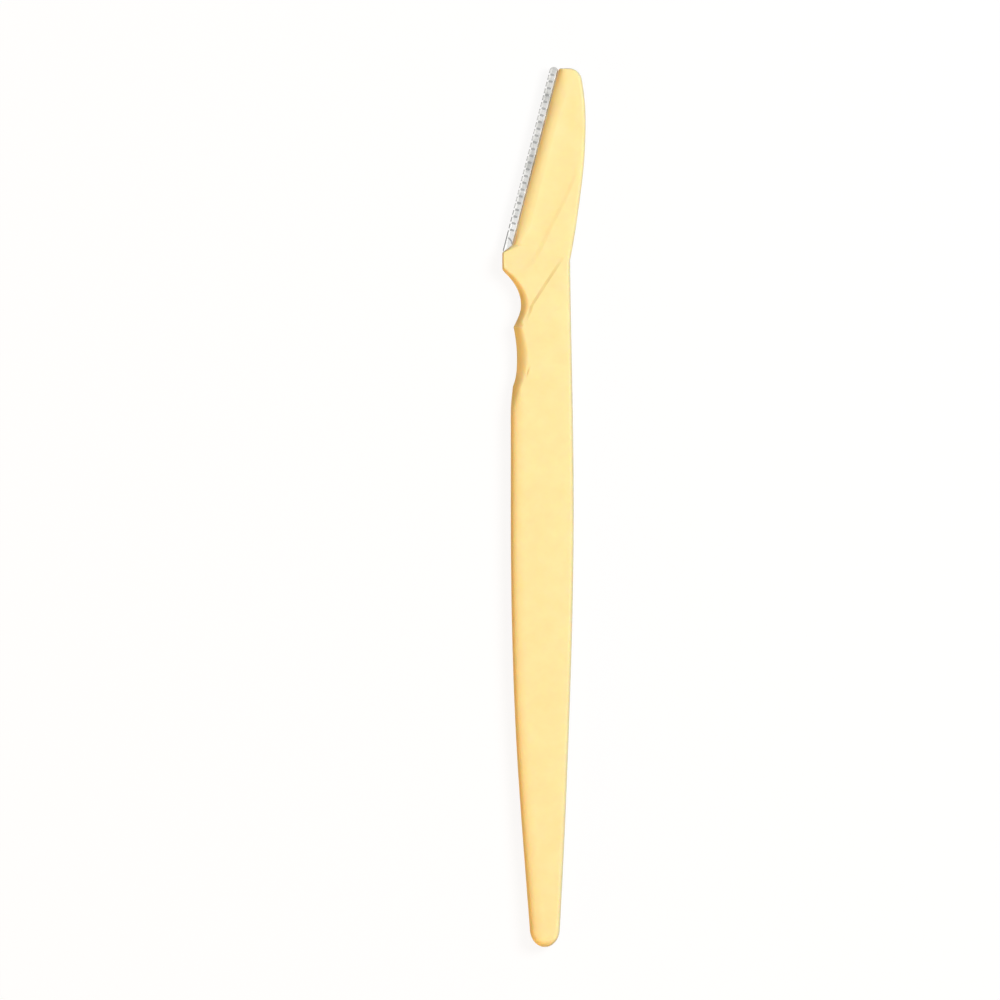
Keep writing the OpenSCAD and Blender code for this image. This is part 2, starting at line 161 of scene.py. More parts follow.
heel_length = 3.2
ledge_rise = 1.4
ledge_depth = 1.9
head_length = 30.0
spine_reach = 7.4
neck_reach = 4.73
tip_spine_round = 1.8
tip_blade_round = 0.3
blade_lean = math.radians(14.55)
lean_slope = math.tan(blade_lean)
print("grip", grip_length, "mm and head", head_length, "mm long")

# %% Heights along the razor, counted from the tail
shoulder_y = grip_length
nub_y = shoulder_y + lower_notch_length
heel_y = nub_y + upper_notch_length
ledge_y = heel_y + heel_length
blade_y = ledge_y + ledge_rise
tip_y = blade_y + head_length
taper_y = grip_length * 0.3
widest_y = grip_length * 0.78
side_end_y = grip_length * 0.952
thumb_y = shoulder_y + lower_notch_length * 0.49
finger_y = nub_y + upper_notch_length * 0.39
flare_y = nub_y + upper_notch_length * 0.92
heel_round_y = heel_y + heel_length * 0.25
neck_y = heel_y + heel_length * 0.55
bevel_full_y = blade_y + ledge_rise * 2.6
spine_mid_y = blade_y + head_length * 0.34
spine_y = blade_y + head_length * 0.69
spine_end_y = tip_y - tip_spine_round
print("razor is", round(tip_y, 2), "mm long without the metal's end")

# %% Reaches across the razor
half_grip = grip_width / 2
half_tail = tail_width / 2
blade_x = ledge_depth - heel_reach
tip_left_x = blade_x + head_length * lean_slope
tip_right_x = spine_reach * 0.865
print("tip is", round(tip_right_x - tip_left_x, 2), "mm wide")

# %% [markdown]
# ## The outline
# Seen from the front, the blade side carries all the character: the notches, the sharp nub
# between them, the flare into the heel, the ledge and the straight blade line. The spine
# side is one long calm curve with a waist at the neck.

# %% Outline knots
ledge_slope = ledge_depth / ledge_rise
left_knots = [
    ramp(tail_round, tail_shift - half_tail, -0.078),
    ramp(taper_y, -half_grip * 0.753, -0.067),
    level(widest_y, -half_grip),
    level(side_end_y, -half_grip),
    (shoulder_y, -half_grip * 0.932, 0.1, 0.42),
    level(thumb_y, lower_notch_depth - half_grip),
    (nub_y, nub_depth - half_grip, -0.2, 0.52),
    level(finger_y, upper_notch_depth - half_grip),
    (flare_y, -heel_reach * 0.86, -0.95, -1.15),
    ramp(heel_y, -heel_reach * 0.965, -0.9),
    level(heel_round_y, -heel_reach),
    (ledge_y, -heel_reach, 0, ledge_slope),
    (blade_y, blade_x, ledge_slope, lean_slope),
    ramp(tip_y, tip_left_x, lean_slope),
]
right_knots = [
    ramp(tail_round, tail_shift + half_tail, 0.055),
    ramp(taper_y, half_grip * 0.785, 0.039),
    level(widest_y, half_grip),
    (neck_y, neck_reach, -0.012, 0.2),
    ramp(spine_mid_y, spine_reach * 0.911, 0.125),
    level(spine_y, spine_reach),
    ramp(spine_end_y, spine_reach * 0.908, -0.2),
    ramp(tip_y, tip_right_x, -0.2),
]
print(len(left_knots), "knots on the blade side,", len(right_knots), "on the spine side")

# %% [markdown]
# ## Round ends and soft corners
# A moulding has no sharp corners, because the mould is milled with a round tool. The tail
# and the two corners of the tip close along quarter circles. Every other corner of the
# outline is softened by averaging the outline over a short stretch.

# %% Outline functions
end_flat_share = 0.03
corner_reach = 0.16
corner_weights = [(-1, 1), (-0.6, 2), (-0.25, 3), (0, 3), (0.25, 3), (0.6, 2), (1, 1)]


def end_share(distance, length):
    t = np.clip(1 - distance / length, 0, 1)
    return mix(end_flat_share, 1, np.sqrt(np.maximum(0, 1 - t * t)))


def side_x(y, knots, side, tip_length):
    near_tail = tail_shift + side * half_tail * end_share(y, tail_round)
    t = np.clip(1 - (tip_y - y) / tip_length, 0, 1)
    rest = follow(knots, y) - side * tip_length * (1 - np.sqrt(1 - t * t))
    return np.where(y < tail_round, near_tail, rest)


def softened(y, knots, side, tip_length):
    soft = sum(
        weight * side_x(y + share * corner_reach, knots, side, tip_length)
        for share, weight in corner_weights
    )
    total = sum(weight for _, weight in corner_weights)
    at_end = (y < tail_round + corner_reach) | (y > tip_y - tip_spine_round)
    return np.where(at_end, side_x(y, knots, side, tip_length), soft / total)


def left_x(y):
    return softened(y, left_knots, -1, tip_blade_round)


def right_x(y):
    return softened(y, right_knots, 1, tip_spine_round)


# %% [markdown]
# ## Walls and faces
# A slice through the handle is a flat plate with shaped sides. The knots below give the
# width of each wall, its knee, and the height of the faces. A wall with a knee of 0 stands
# up and rounds over into the face, as along the grip. With a larger knee it leans more like
# a chamfer, as in the notches and beside the blade. Each wall shows as a shade of its own,
# so these widths are tuned more finely than the solid's and differ a little from them.

# %% Walls
grip_edge = 2.3
notch_wall = 1.0
lip_bevel = 2.0

left_wall_knots = level_knots(
    (side_end_y, grip_edge),
    (shoulder_y, notch_wall * 1.5),
    (thumb_y, notch_wall * 2.0),
    (nub_y, notch_wall * 1.6),
    (nub_y + notch_wall, notch_wall * 1.05),
    (finger_y, notch_wall * 1.4),
    (heel_y, notch_wall * 0.85),
    (heel_round_y, notch_wall * 0.35),
    (ledge_y, notch_wall * 0.3),
    (blade_y, notch_wall * 1.2),
    (bevel_full_y, lip_bevel),
    (spine_y, lip_bevel),
    (tip_y, lip_bevel * 1.3),
)
right_wall_knots = level_knots(
    (widest_y, grip_edge * 0.3),
    (neck_y, grip_edge * 0.26),
    (spine_y, grip_edge * 0.26),
)
left_knee_knots = level_knots(
    (side_end_y, 0),
    (shoulder_y, 0.6),
    (thumb_y, 0.6),
    (nub_y, 0.6),
    (flare_y, 0.5),
    (heel_y, 0.2),
    (blade_y, 0.2),
    (bevel_full_y, 0.36),
    (spine_y, 0.36),
    (tip_y, 0.3),
)
wall_widths = [knot[1] for knot in left_wall_knots]
print("left wall is from", round(min(wall_widths), 2), "to", max(wall_widths), "mm wide")

# %% Faces
head_thickness = 3.6
lip_thickness = 1.4
thumb_step = 0.2
grip_half = grip_thickness / 2
head_half = head_thickness / 2
lip_half = lip_thickness / 2
edge_half = grip_thickness * 0.09

left_edge_knots = level_knots(
    (side_end_y, edge_half),
    (thumb_y, edge_half),
    (finger_y, edge_half),
    (ledge_y, lip_half),
    (blade_y, lip_half),
)
step_top_y = neck_y + heel_length * 0.2
spine_face_knots = level_knots(
    (mix(nub_y, step_top_y, 0.7), grip_half),
    (step_top_y + heel_length * 0.4, head_half),
)
thumb_foot_y = shoulder_y + lower_notch_length * 0.12
thumb_step_y = shoulder_y + lower_notch_length * 0.24
thumb_end_y = shoulder_y + lower_notch_length * 0.36
blade_face_knots = level_knots(
    (thumb_foot_y, grip_half),
    (thumb_step_y, grip_half - thumb_step),
    (thumb_end_y, grip_half),
    (nub_y, grip_half),
    (nub_y + notch_wall * 3.4, head_half),
)
print("grip is", grip_thickness, "mm and head", head_thickness, "mm thick")

# %% [markdown]
# ## Steps and scoop
# Three fine creases give the front its modelling. A diagonal step climbs from the nub to
# the neck, because the head is thinner than the grip. A short step lies at the foot of the
# thumb notch. A shallow scoop begins in a hook by the heel and runs out at the spine.

# %% The two steps
step_wall = notch_wall * 0.6
thumb_wall = notch_wall * 0.3
step_knots = [
    ramp(nub_y, -half_grip * 0.9, 0.6),
    ramp(nub_y + notch_wall, -half_grip * 0.7, 0.62),
    ramp(step_top_y, half_grip * 0.61, 0.66),
]
thumb_line_knots = [
    ramp(thumb_foot_y, -half_grip * 0.78, 0.8),
    ramp(thumb_end_y, -half_grip * 0.36, 0.9),
]
print("steps end at", round(step_top_y, 1), "and", round(thumb_end_y, 1), "mm")

# %% The scoop
scoop_depth = 0.2
scoop_dish = 0.12
scoop_wall = 1.3
scoop_start_y = heel_y
scoop_end_y = blade_y + head_length * 0.55
scoop_line_knots = [
    ramp(scoop_start_y, -half_grip * 0.66, 1.8),
    ramp(scoop_start_y + heel_length * 0.5, -half_grip * 0.31, 0.62),
    ramp(blade_y + head_length * 0.1, half_grip * 0.26, 0.52),
    ramp(blade_y + head_length * 0.4, spine_reach * 0.75, 0.33),
    ramp(scoop_end_y, spine_reach * 0.82, 0.12),
]
scoop_depth_knots = level_knots(
    (scoop_start_y, 0),
    (heel_y + heel_length * 0.9, scoop_depth),
    (blade_y + head_length * 0.3, scoop_depth),
    (scoop_end_y, 0),
)
scoop_dish_knots = level_knots(
    (scoop_start_y, 0),
    (blade_y + head_length * 0.15, scoop_dish),
    (scoop_end_y, scoop_dish),
    (tip_y, 0),
)
print("scoop runs from", round(scoop_start_y, 1), "to", round(scoop_end_y, 1), "mm")


# %% [markdown]
# ## From columns to a soft section
# A section is a row of columns, the same ones in every slice, so each crease stays on its
# own line of the mesh. A column that is a corner becomes a small fillet: two points before
# it, its rounded middle and two points after it. The outer two keep the large faces flat.

# %% Fillets
tiny = 1e-9
fillet_share = 0.22


def unit(vector):
    length = np.linalg.norm(vector, axis=-1, keepdims=True)
    return vector / np.maximum(length, tiny)


def short_step(way, fillet):
    """A step on the way to a neighbour, as long as the fillet or a share of a short way."""
    length = np.linalg.norm(way, axis=-1, keepdims=True)
    return unit(way) * np.minimum(fillet, length * fillet_share)


def filleted(columns):
    """Columns are (x, z, fillet). Returns an array of slices, points and x and z."""
    points = np.stack([np.stack([x, z], -1) for x, z, _ in columns], 1)
    out = []
    for i, (_, _, fillet) in enumerate(columns):
        here = points[:, i]
        if not fillet:
            out.append(here)
            continue
        back = short_step(points[:, i - 1] - here, fillet)
        ahead = short_step(points[:, i + 1] - here, fillet)
        start = here + back
        end = here + ahead
        middle = (start + end + 2 * here) / 4
        out += [here + 2 * back, start, middle, end, here + 2 * ahead]
    return np.stack(out, 1)


# %% [markdown]
# ## One half of a slice
# The front half runs from the blade side to the spine side. Each wall is a quadratic curve
# over its knee, and meets the face flat. A wall keeps its width square to the outline, so
# it is wider in a slice where the outline slopes. The back half has the same outline
# without the scoop, and it is turned over to close the slice.

# %% Walls of a slice
wall_steps = 10
left_wall_most = 0.45
right_wall_most = 0.35


def wall_columns(edge_x, edge_z, face_x, face_z, knee=0, edge_fillet=0, face_fillet=0):
    fillets = [edge_fillet] + [0] * (wall_steps - 1) + [face_fillet]
    columns = []
    for i, fillet in enumerate(fillets):
        share = i / wall_steps
        across = 2 * share * (1 - share) * knee + share * share
        up = 1 - (1 - share) * (1 - share)
        columns.append((mix(edge_x, face_x, across), mix(edge_z, face_z, up), fillet))
    return columns


def wall_places(y):
    """Both sides of the outline, and the places where their walls meet the face."""
    left = left_x(y)
    right = right_x(y)
    room = right - left
    slope = np.gradient(left, y)
    at_end = (y < tail_round) | (y > tip_y - tip_blade_round)
    stretch = np.where(at_end, 1, np.sqrt(1 + slope * slope))
    inner = left + np.minimum(follow(left_wall_knots, y) * stretch, room * left_wall_most)
    outer = right - np.minimum(follow(right_wall_knots, y), room * right_wall_most)
    return left, right, inner, outer


# %% Creases of a slice
least_share = 0.01
scoop_wall_most = 0.16
step_wall_most = 0.25
scoop_rest = 0.3


def crease_places(y, inner, outer):
    """Where the scoop's edge and the step lie on the face, and how wide they are."""
    face = outer - inner
    least = face * least_share
    on_thumb = (y >= thumb_foot_y) & (y <= thumb_end_y)
    on_step = (y >= nub_y) & (y <= step_top_y)
    on_scoop = y >= scoop_start_y
    rise = np.minimum(scoop_wall, face * scoop_wall_most)
    scoop = follow(scoop_line_knots, y) - rise / 2
    scoop = np.clip(scoop, inner + least, outer - rise - 4 * least)
    scoop = np.where(on_scoop, scoop, mix(inner, outer, scoop_rest))
    floor_x = scoop + rise
    step_rise = np.where(on_thumb, thumb_wall, step_wall)
    step_rise = np.minimum(step_rise, (outer - floor_x) * step_wall_most)
    line = np.where(on_thumb, follow(thumb_line_knots, y), mix(floor_x, outer, 0.5))
    line = np.where(on_step, follow(step_knots, y), line)
    free_low = np.where(on_scoop, floor_x, inner) + least
    step = np.clip(line, free_low, outer - step_rise - least)
    return scoop, rise, step, step_rise, on_scoop


# %% Half a slice
dish_steps = 6
scoop_steps = 6
side_fillet = 0.07
corner_fillet = 0.09
step_fillet = 0.05
tail_thinning = grip_half * 0.7
tip_thinning = lip_half * 0.2


def half_slices(y, scooped):
    thin = np.minimum(end_share(y, tail_thinning), end_share(tip_y - y, tip_thinning))
    left, right, inner, outer = wall_places(y)
    low_face = follow(blade_face_knots, y) * thin
    high_face = follow(spine_face_knots, y) * thin
    drop = follow(scoop_depth_knots, y) * thin * scooped
    dish = follow(scoop_dish_knots, y) * thin * scooped
    scoop, rise, step, step_rise, on_scoop = crease_places(y, inner, outer)
    free = np.where(on_scoop, scoop, mix(inner, step, 0.5))
    width = np.where(on_scoop, rise, (step - free) * 0.5)
    side_z = follow(left_edge_knots, y) * thin
    knee = follow(left_knee_knots, y)
    columns = wall_columns(
        left, side_z, inner, low_face - drop, knee, side_fillet, corner_fillet
    )
    for i in range(1, dish_steps):
        share = i / dish_steps
        floor_z = low_face - drop - dish * math.sin(math.pi * share)
        columns.append((mix(inner, free, share), floor_z, 0))
    for i in range(scoop_steps + 1):
        share = i / scoop_steps
        soft = share * share * (3 - 2 * share)
        columns.append((free + width * share, low_face - drop * (1 - soft), 0))
    columns.append((step, low_face, step_fillet))
    columns.append((step + step_rise, high_face, step_fillet))
    columns += reversed(wall_columns(right, edge_half * thin, outer, high_face))
    return columns, left, right, thin


# %% [markdown]
# ## The seam between the mould halves
# Where the two halves of a mould meet, a hair of plastic creeps in. It shows as a very fine
# line along the middle of both sides, and it stops at the ledge where the metal starts.

# %% Whole slices
seam_height = 0.018
seam_half = 0.05


def slice_rings(y):
    front, left, right, thin = half_slices(y, True)
    back = half_slices(y, False)[0]
    seam = seam_height * np.clip((ledge_y - y) / heel_length, 0, 1) * thin
    half = seam_half * thin
    middle = np.zeros_like(y)
    blade_seam = [(left, -half, 0), (left - seam, middle, 0), (left, half, 0)]
    spine_seam = [(right, half, 0), (right + seam, middle, 0), (right, -half, 0)]
    turned = [(x, -z, fillet) for x, z, fillet in reversed(back)]
    # The first column is there twice, so that the last corner has a neighbour.
    ring = blade_seam + front + spine_seam + turned + blade_seam[:1]
    rounded = filleted(ring)[:, :-1]
    heights = np.repeat(y[:, None], rounded.shape[1], 1)
    return np.stack([rounded[..., 0], heights, rounded[..., 1]], -1)


# %% [markdown]
# ## Lofting the handle
# The slices lie closer together where the outline turns. Neighbouring slices are joined by
# quads, and one flat face closes each end. The result is a closed skin with even faces.

# %% Slice heights
def heights_between(start, end, spacing):
    count = max(2, round((end - start) / spacing))
    return list(np.linspace(start, end, count, endpoint=False))


end_slices = 14
turn = [math.pi / 2 * i / end_slices for i in range(end_slices)]
stretches = [
    # from, to, spacing
    (tail_round, side_end_y, 0.62),
    (side_end_y, nub_y, 0.13),
    (nub_y, heel_y, 0.1),
    (heel_y, bevel_full_y, 0.085),
    (bevel_full_y, spine_end_y, 0.25),
]
slice_y = [tail_round * (1 - math.cos(angle)) for angle in turn]
for start, end, spacing in stretches:
    slice_y += heights_between(start, end, spacing)
slice_y += [spine_end_y + tip_spine_round * math.sin(angle) for angle in turn] + [tip_y]
slice_y = np.array(slice_y)
print(len(slice_y), "slices")


# %% Pieces and how they are settled
def make_piece(name, vertices, faces):
    mesh = bpy.data.meshes.new(name)
    mesh.from_pydata([tuple(float(c) for c in v) for v in vertices], [], faces)
    mesh.update()
    piece = bpy.data.objects.new(name, mesh)
    bpy.context.scene.collection.objects.link(piece)
    return piece


def settle(piece, sharp_angle=40):
    """Turns what the modifiers make into a plain mesh and marks its sharp edges."""
    depsgraph = bpy.context.evaluated_depsgraph_get()
    mesh = bpy.data.meshes.new_from_object(piece.evaluated_get(depsgraph))
    piece.modifiers.clear()
    old = piece.data
    piece.data = mesh
    bpy.data.meshes.remove(old)
    mesh.name = piece.name
    mesh.shade_smooth()
    mesh.set_sharp_from_angle(angle=math.radians(sharp_angle))
    print(piece.name, len(mesh.polygons), "faces")


def modify(piece, kind, **settings):
    modifier = piece.modifiers.new(kind.lower(), kind)
    for name, value in settings.items():
        setattr(modifier, name, value)


def place(piece, matrix):
    piece.data.transform(matrix)
    piece.data.update()


def paint(piece, material):
    piece.data.materials.clear()
    piece.data.materials.append(material)


# %% Handle skin
def loft_faces(rows, count):
    faces = []
    for i in range(rows - 1):
        for j in range(count):
            a = i * count + j
            b = i * count + (j + 1) % count
            faces.append((a, b, b + count, a + count))
    faces.append(tuple(range(count - 1, -1, -1)))
    faces.append(tuple((rows - 1) * count + j for j in range(count)))
    return faces


rings = slice_rings(slice_y)
row_count, column_count = rings.shape[:2]
skin_faces = loft_faces(row_count, column_count)
handle = make_piece("handle_moulding", rings.reshape(-1, 3), skin_faces)
print("handle loft:", row_count, "slices of", column_count, "points")

# %% [markdown]
# ## The blade line's own frame
# Everything in the head lies along the leaning blade line. Its frame has X into the head
# from its edge, Y up along the edge from the ledge, and Z out of the front face.

# %% Blade line
lean = Matrix.Rotation(-blade_lean, 4, "Z")
on_blade_line = Matrix.Translation((blade_x, blade_y, 0)) @ lean
fit_gap = 0.06
overrun = 1.0
plate_width = 4.4
plate_tip_width = 2.1
tang_margin = 0.4
tang_width = plate_width - tang_margin
blade_thickness = 0.2
guard_sheet = 0.13
stack_half = blade_thickness / 2 + guard_sheet
head_edge = head_length / math.cos(blade_lean)
plate_low = head_edge * 0.035
plate_bend = head_edge * 0.68
plate_high = head_edge * 0.935
print("blade line is", round(head_edge, 2), "mm long")


def plate_outline(gap, margin=0):
    low = plate_low + margin - gap
    high = plate_high - margin + gap
    wide = plate_width - margin + gap
    narrow = plate_tip_width - margin + gap
    side = [(wide, low), (wide, plate_bend), (narrow, high)]
    return [(-overrun, low)] + side + [(-overrun, high)]


# %% [markdown]
# ## Prisms as cutters
# A recess is easiest to make as it is milled: a tool of the recess's shape is taken away
# from the body. A prism is an outline pulled up between two levels. Given more levels, each
# with its own growth, it also leaves a chamfer round the rim.

# %% Prisms
def grown(outline, growth):
    """The outline with every side moved out by the growth."""
    points = np.array(outline, float)
    ahead = unit(np.roll(points, -1, 0) - points)
    normal = np.stack([ahead[:, 1], -ahead[:, 0]], -1)
    before = np.roll(normal, 1, 0)
    corner = (before + normal) / (1 + (before * normal).sum(-1, keepdims=True))
    return points + corner * growth


def prism(name, outline, levels):
    """Levels are (z, growth) pairs from the lowest to the highest."""
    vertices = []
    for z, growth in levels:
        vertices += [(x, y, z) for x, y in grown(outline, growth)]
    return make_piece(name, vertices, loft_faces(len(levels), len(outline)))


def cut(piece, cutter, operation="DIFFERENCE"):
    modify(piece, "BOOLEAN", object=cutter, operation=operation, solver="EXACT")
    settle(piece)
    bpy.data.objects.remove(cutter)


# %% [markdown]
# ## The recess in the back of the head
# The metal and its clamp plate lie in a recess that opens to the back and to the blade
# line. Its floor carries the tang, and a small chamfer runs round its rim.

# %% Recess
rim_chamfer = 0.09
plate_levels = [
    (-head_half - overrun, overrun + rim_chamfer),
    (-head_half + rim_chamfer, 0),
    (-stack_half, 0),
]
tang_levels = [(-head_half, 0), (stack_half, 0)]
for name, outline, levels in (
    ("plate_recess", plate_outline(fit_gap), plate_levels),
    ("tang_recess", plate_outline(fit_gap, tang_margin), tang_levels),
):
    recess = prism(name, outline, levels)
    place(recess, on_blade_line)
    cut(handle, recess)

# %% [markdown]
# ## Finding the posts' places
# Three posts stand in the recess and pass through the tang and the plate. Their tips are
# melted into flat heads, which hold everything down for good.

# %% Post places
post_radius = 0.75
stake_radius = 1.12
stake_height = 0.44
post_count = 3
post_x = plate_width * 0.56
post_from = plate_low + plate_width / 2
post_to = plate_bend - plate_low / 2
post_step = (post_to - post_from) / (post_count - 1)
print("posts at", [round(post_from + i * post_step, 2) for i in range(post_count)])


# %% [markdown]
# ## Small helpers for node trees
# A node tree is data: nodes, their settings and the links between their sockets. These
# helpers keep the trees below short enough to read.

# %% Nodes and links
def add_node(tree, kind, **settings):
    node = tree.nodes.new(kind)
    for name, value in settings.items():
        setattr(node, name, value)
    return node


def plug(tree, socket, source):
    """Links an input to a node's output, or sets it to a value."""
    if isinstance(source, bpy.types.NodeSocket):
        tree.links.new(source, socket)
    else:
        socket.default_value = source


def feed(tree, node, **sources):
    """Plugs inputs by name, with _ for a space."""
    for name, source in sources.items():
        plug(tree, node.inputs[name.replace("_", " ")], source)


def made(tree, kind, **sources):
    """Adds a node, feeds it and returns its first output."""
    node = add_node(tree, kind)
    feed(tree, node, **sources)
    return node.outputs[0]


def compute(tree, operation, *sources):
    node = add_node(tree, "ShaderNodeMath", operation=operation)
    for socket, source in zip(node.inputs, sources):
        plug(tree, socket, source)
    return node.outputs[0]


# %% Geometry trees
def geometry_tree(name, numbers, objects):
    """A tree with named inputs. Returns it with its input node and its output node."""
    tree = bpy.data.node_groups.new(name, "GeometryNodeTree")
    inputs = [("Geometry", "Geometry")]
    inputs += [(title, "Object") for title in objects]
    inputs += [(title, "Float") for title in numbers]
    inputs += [("Count", "Int"), ("Finish", "Material")]
    for title, kind in inputs:
        tree.interface.new_socket(title, in_out="INPUT", socket_type="NodeSocket" + kind)
    tree.interface.new_socket("Geometry", in_out="OUTPUT", socket_type="NodeSocketGeometry")
    return tree, add_node(tree, "NodeGroupInput"), add_node(tree, "NodeGroupOutput")


def use_tree(piece, tree, **values):
    """Puts a tree on a piece, with its inputs by name and _ for a space."""
    modifier = piece.modifiers.new(tree.name, "NODES")
    modifier.node_group = tree
    inputs = [item for item in tree.interface.items_tree if item.in_out == "INPUT"]
    identifiers = {item.name: item.identifier for item in inputs}
    for name, value in values.items():
        modifier[identifiers[name.replace("_", " ")]] = value
    settle(piece)


# %% What repeats
def row_of_points(tree, count, start, step):
    """A line of points along Y, which carry what repeats."""
    first = made(tree, "ShaderNodeCombineXYZ", X=start[0], Y=start[1])
    offset = made(tree, "ShaderNodeCombineXYZ", Y=step)
    line = add_node(tree, "GeometryNodeMeshLine", mode="OFFSET")
    feed(tree, line, Count=count, Start_Location=first, Offset=offset)
    return line.outputs["Mesh"]


def real_copies(tree, points, shape):
    """A copy of the shape on every point, as a real mesh."""
    copies = made(tree, "GeometryNodeInstanceOnPoints", Points=points, Instance=shape)
    return made(tree, "GeometryNodeRealizeInstances", Geometry=copies)


def object_mesh(tree, source):
    node = add_node(tree, "GeometryNodeObjectInfo")
    feed(tree, node, Object=source)
    return node.outputs["Geometry"]


def finish_tree(tree, output, geometry, finish):
    painted = made(tree, "GeometryNodeSetMaterial", Geometry=geometry, Material=finish)
    feed(tree, output, Geometry=painted)


# %% [markdown]
# ## The plastic
# The handle is pale butter-yellow plastic with a satin skin. Light enters it and comes out
# again nearby, which softens its shades: subsurface scattering does that. Its reflections
# are kept weak, so that the white surroundings don't wash out the steep walls. One noise
# varies the colour a little, as pigment does, another one the sheen, and a very fine bump
# is the grain of the mould.

# %% Shader helpers
noise_low = 0.3
noise_high = 0.7


def new_material(name):
    material = bpy.data.materials.new(name)
    material.use_nodes = True
    tree = material.node_tree
    return material, tree, tree.nodes["Principled BSDF"]


def object_place(tree, **mapping):
    """The object's own coordinates after a mapping node."""
    coordinates = add_node(tree, "ShaderNodeTexCoord").outputs["Object"]
    return made(tree, "ShaderNodeMapping", Vector=coordinates, **mapping)


def object_noise(tree, scale, detail, roughness=0.5, stretch=(1, 1, 1), turn_z=0.0):
    spot = object_place(tree, Rotation=(0, 0, turn_z), Scale=stretch)
    noise = add_node(tree, "ShaderNodeTexNoise")
    feed(tree, noise, Vector=spot, Scale=scale, Detail=detail, Roughness=roughness)
    return noise.outputs["Fac"]


def ranged(tree, value, start, end, low, high):
    """Maps what lies from start to end to what lies from low to high."""
    ends = {"From_Min": start, "From_Max": end, "To_Min": low, "To_Max": high}
    return made(tree, "ShaderNodeMapRange", Value=value, **ends)


def spread(tree, noise, low, high):
    return ranged(tree, noise, noise_low, noise_high, low, high)


def colour_mix(tree, share, dark, light):
    """Mixes two colours, each of them three numbers or another node's output."""
    node = add_node(tree, "ShaderNodeMix", data_type="RGBA")
    plug(tree, node.inputs[0], share)
    # A mix node has sockets for every kind of data, and these two are the colours.
    for socket, colour in ((node.inputs[6], dark), (node.inputs[7], light)):
        plug(tree, socket, (*colour, 1) if isinstance(colour, tuple) else colour)
    return node.outputs[2]


# %% Plastic
def plastic(name, dark, light):
    material, tree, shader = new_material(name)
    pigment = spread(tree, object_noise(tree, scale=260, detail=4, roughness=0.6), 0, 1)
    sheen = object_noise(tree, scale=900, detail=3)
    grain = object_noise(tree, scale=9000, detail=2, roughness=0.6)
    bump = made(tree, "ShaderNodeBump", Strength=0.25, Distance=0.00001, Height=grain)
    feed(
        tree,
        shader,
        Base_Color=colour_mix(tree, pigment, dark, light),
        Roughness=spread(tree, sheen, 0.36, 0.46),
        IOR=1.49,
        Specular_IOR_Level=0.12,
        Subsurface_Weight=0.4,
        Subsurface_Radius=(1.0, 0.5, 0.2),
        Subsurface_Scale=0.0006,
        Normal=bump,
    )
    print("plastic:", name)
    return material


handle_plastic = plastic("handle_plastic", (0.955, 0.8, 0.41), (0.99, 0.845, 0.45))
plate_plastic = plastic("plate_plastic", (0.935, 0.765, 0.335), (0.97, 0.805, 0.365))


# %% [markdown]
# ## The steel
# Both metals are stainless strip. The guard is stamped and stays bright, with fine rolling
# lines along the strip. The blade is ground: its lines are stronger and run along the edge
# too. A noise that is drawn out along the blade line makes such lines.

# %% Steel
drawn_out = (1, 0.03, 1)


def steel(name, dark, light, roughness, line_depth):
    material, tree, shader = new_material(name)
    lines = object_noise(
        tree, scale=14000, detail=2, roughness=0.6, stretch=drawn_out, turn_z=blade_lean
    )
    patches = spread(tree, object_noise(tree, scale=700, detail=3), 0, 1)
    bump = made(tree, "ShaderNodeBump", Strength=0.4, Distance=line_depth, Height=lines)
    feed(
        tree,
        shader,
        Base_Color=colour_mix(tree, patches, dark, light),
        Roughness=spread(tree, lines, *roughness),
        Metallic=1.0,
        Normal=bump,
    )
    print("steel:", name)
    return material


guard_steel = steel(
    "guard_steel", (0.46, 0.46, 0.44), (0.7, 0.69, 0.67), (0.2, 0.34), 0.000004
)
# The blade's steel is darker than the guard's. This is partly painted shade, for the shadow
# of the fold over it in the slots.
blade_steel = steel(
    "blade_steel", (0.36, 0.36, 0.35), (0.46, 0.46, 0.45), (0.26, 0.42), 0.000006
)

# %% [markdown]
# ## The staked heads
# Each post ends in a head that was melted flat by a hot tool: a low dome with a soft rim.
# One post is turned on a lathe of a few points, and a node tree sets it at every place.

# %% One post
lathe_steps = 32
stake_base = -head_half
head_dome = [(0.0, 0.05), (0.55, 0.03), (0.8, 0.045), (0.93, 0.1), (1.0, 0.2)]
stake_profile = [(stake_radius * share, stake_base + rise) for share, rise in head_dome]
stake_profile += [
    (stake_radius, stake_base + stake_height),
    (post_radius, stake_base + stake_height),
    (post_radius, lip_half),
    (0.0, lip_half),
]


def lathe(name, profile, steps):
    vertices = []
    faces = []
    inner = profile[1:-1]
    for i in range(steps):
        angle = 2 * math.pi * i / steps
        vertices += [(r * math.cos(angle), r * math.sin(angle), z) for r, z in inner]
    count = len(inner)
    low = len(vertices)
    vertices += [(0, 0, profile[0][1]), (0, 0, profile[-1][1])]
    for i in range(steps):
        a = i * count
        b = (i + 1) % steps * count
        faces.append((low, b, a))
        faces += [(a + j, b + j, b + j + 1, a + j + 1) for j in range(count - 1)]
        faces.append((a + count - 1, b + count - 1, low + 1))
    return make_piece(name, vertices, faces)


one_post = lathe("one_post", stake_profile, lathe_steps)
print("one post has", len(one_post.data.vertices), "points")

# %% Staked posts
post_sizes = ["Across", "Along", "Step"]
tree, given, result = geometry_tree("Staked posts", post_sizes, ["Post"])
sizes = given.outputs
start = (sizes["Across"], sizes["Along"])
points = row_of_points(tree, sizes["Count"], start, sizes["Step"])
posts = real_copies(tree, points, object_mesh(tree, sizes["Post"]))
finish_tree(tree, result, posts, sizes["Finish"])

staked_posts = make_piece("staked_posts", [(0, 0, 0)], [])
use_tree(
    staked_posts,
    tree,
    Post=one_post,
    Across=post_x,
    Along=post_from,
    Step=post_step,
    Count=post_count,
    Finish=handle_plastic,
)
bpy.data.objects.remove(one_post)

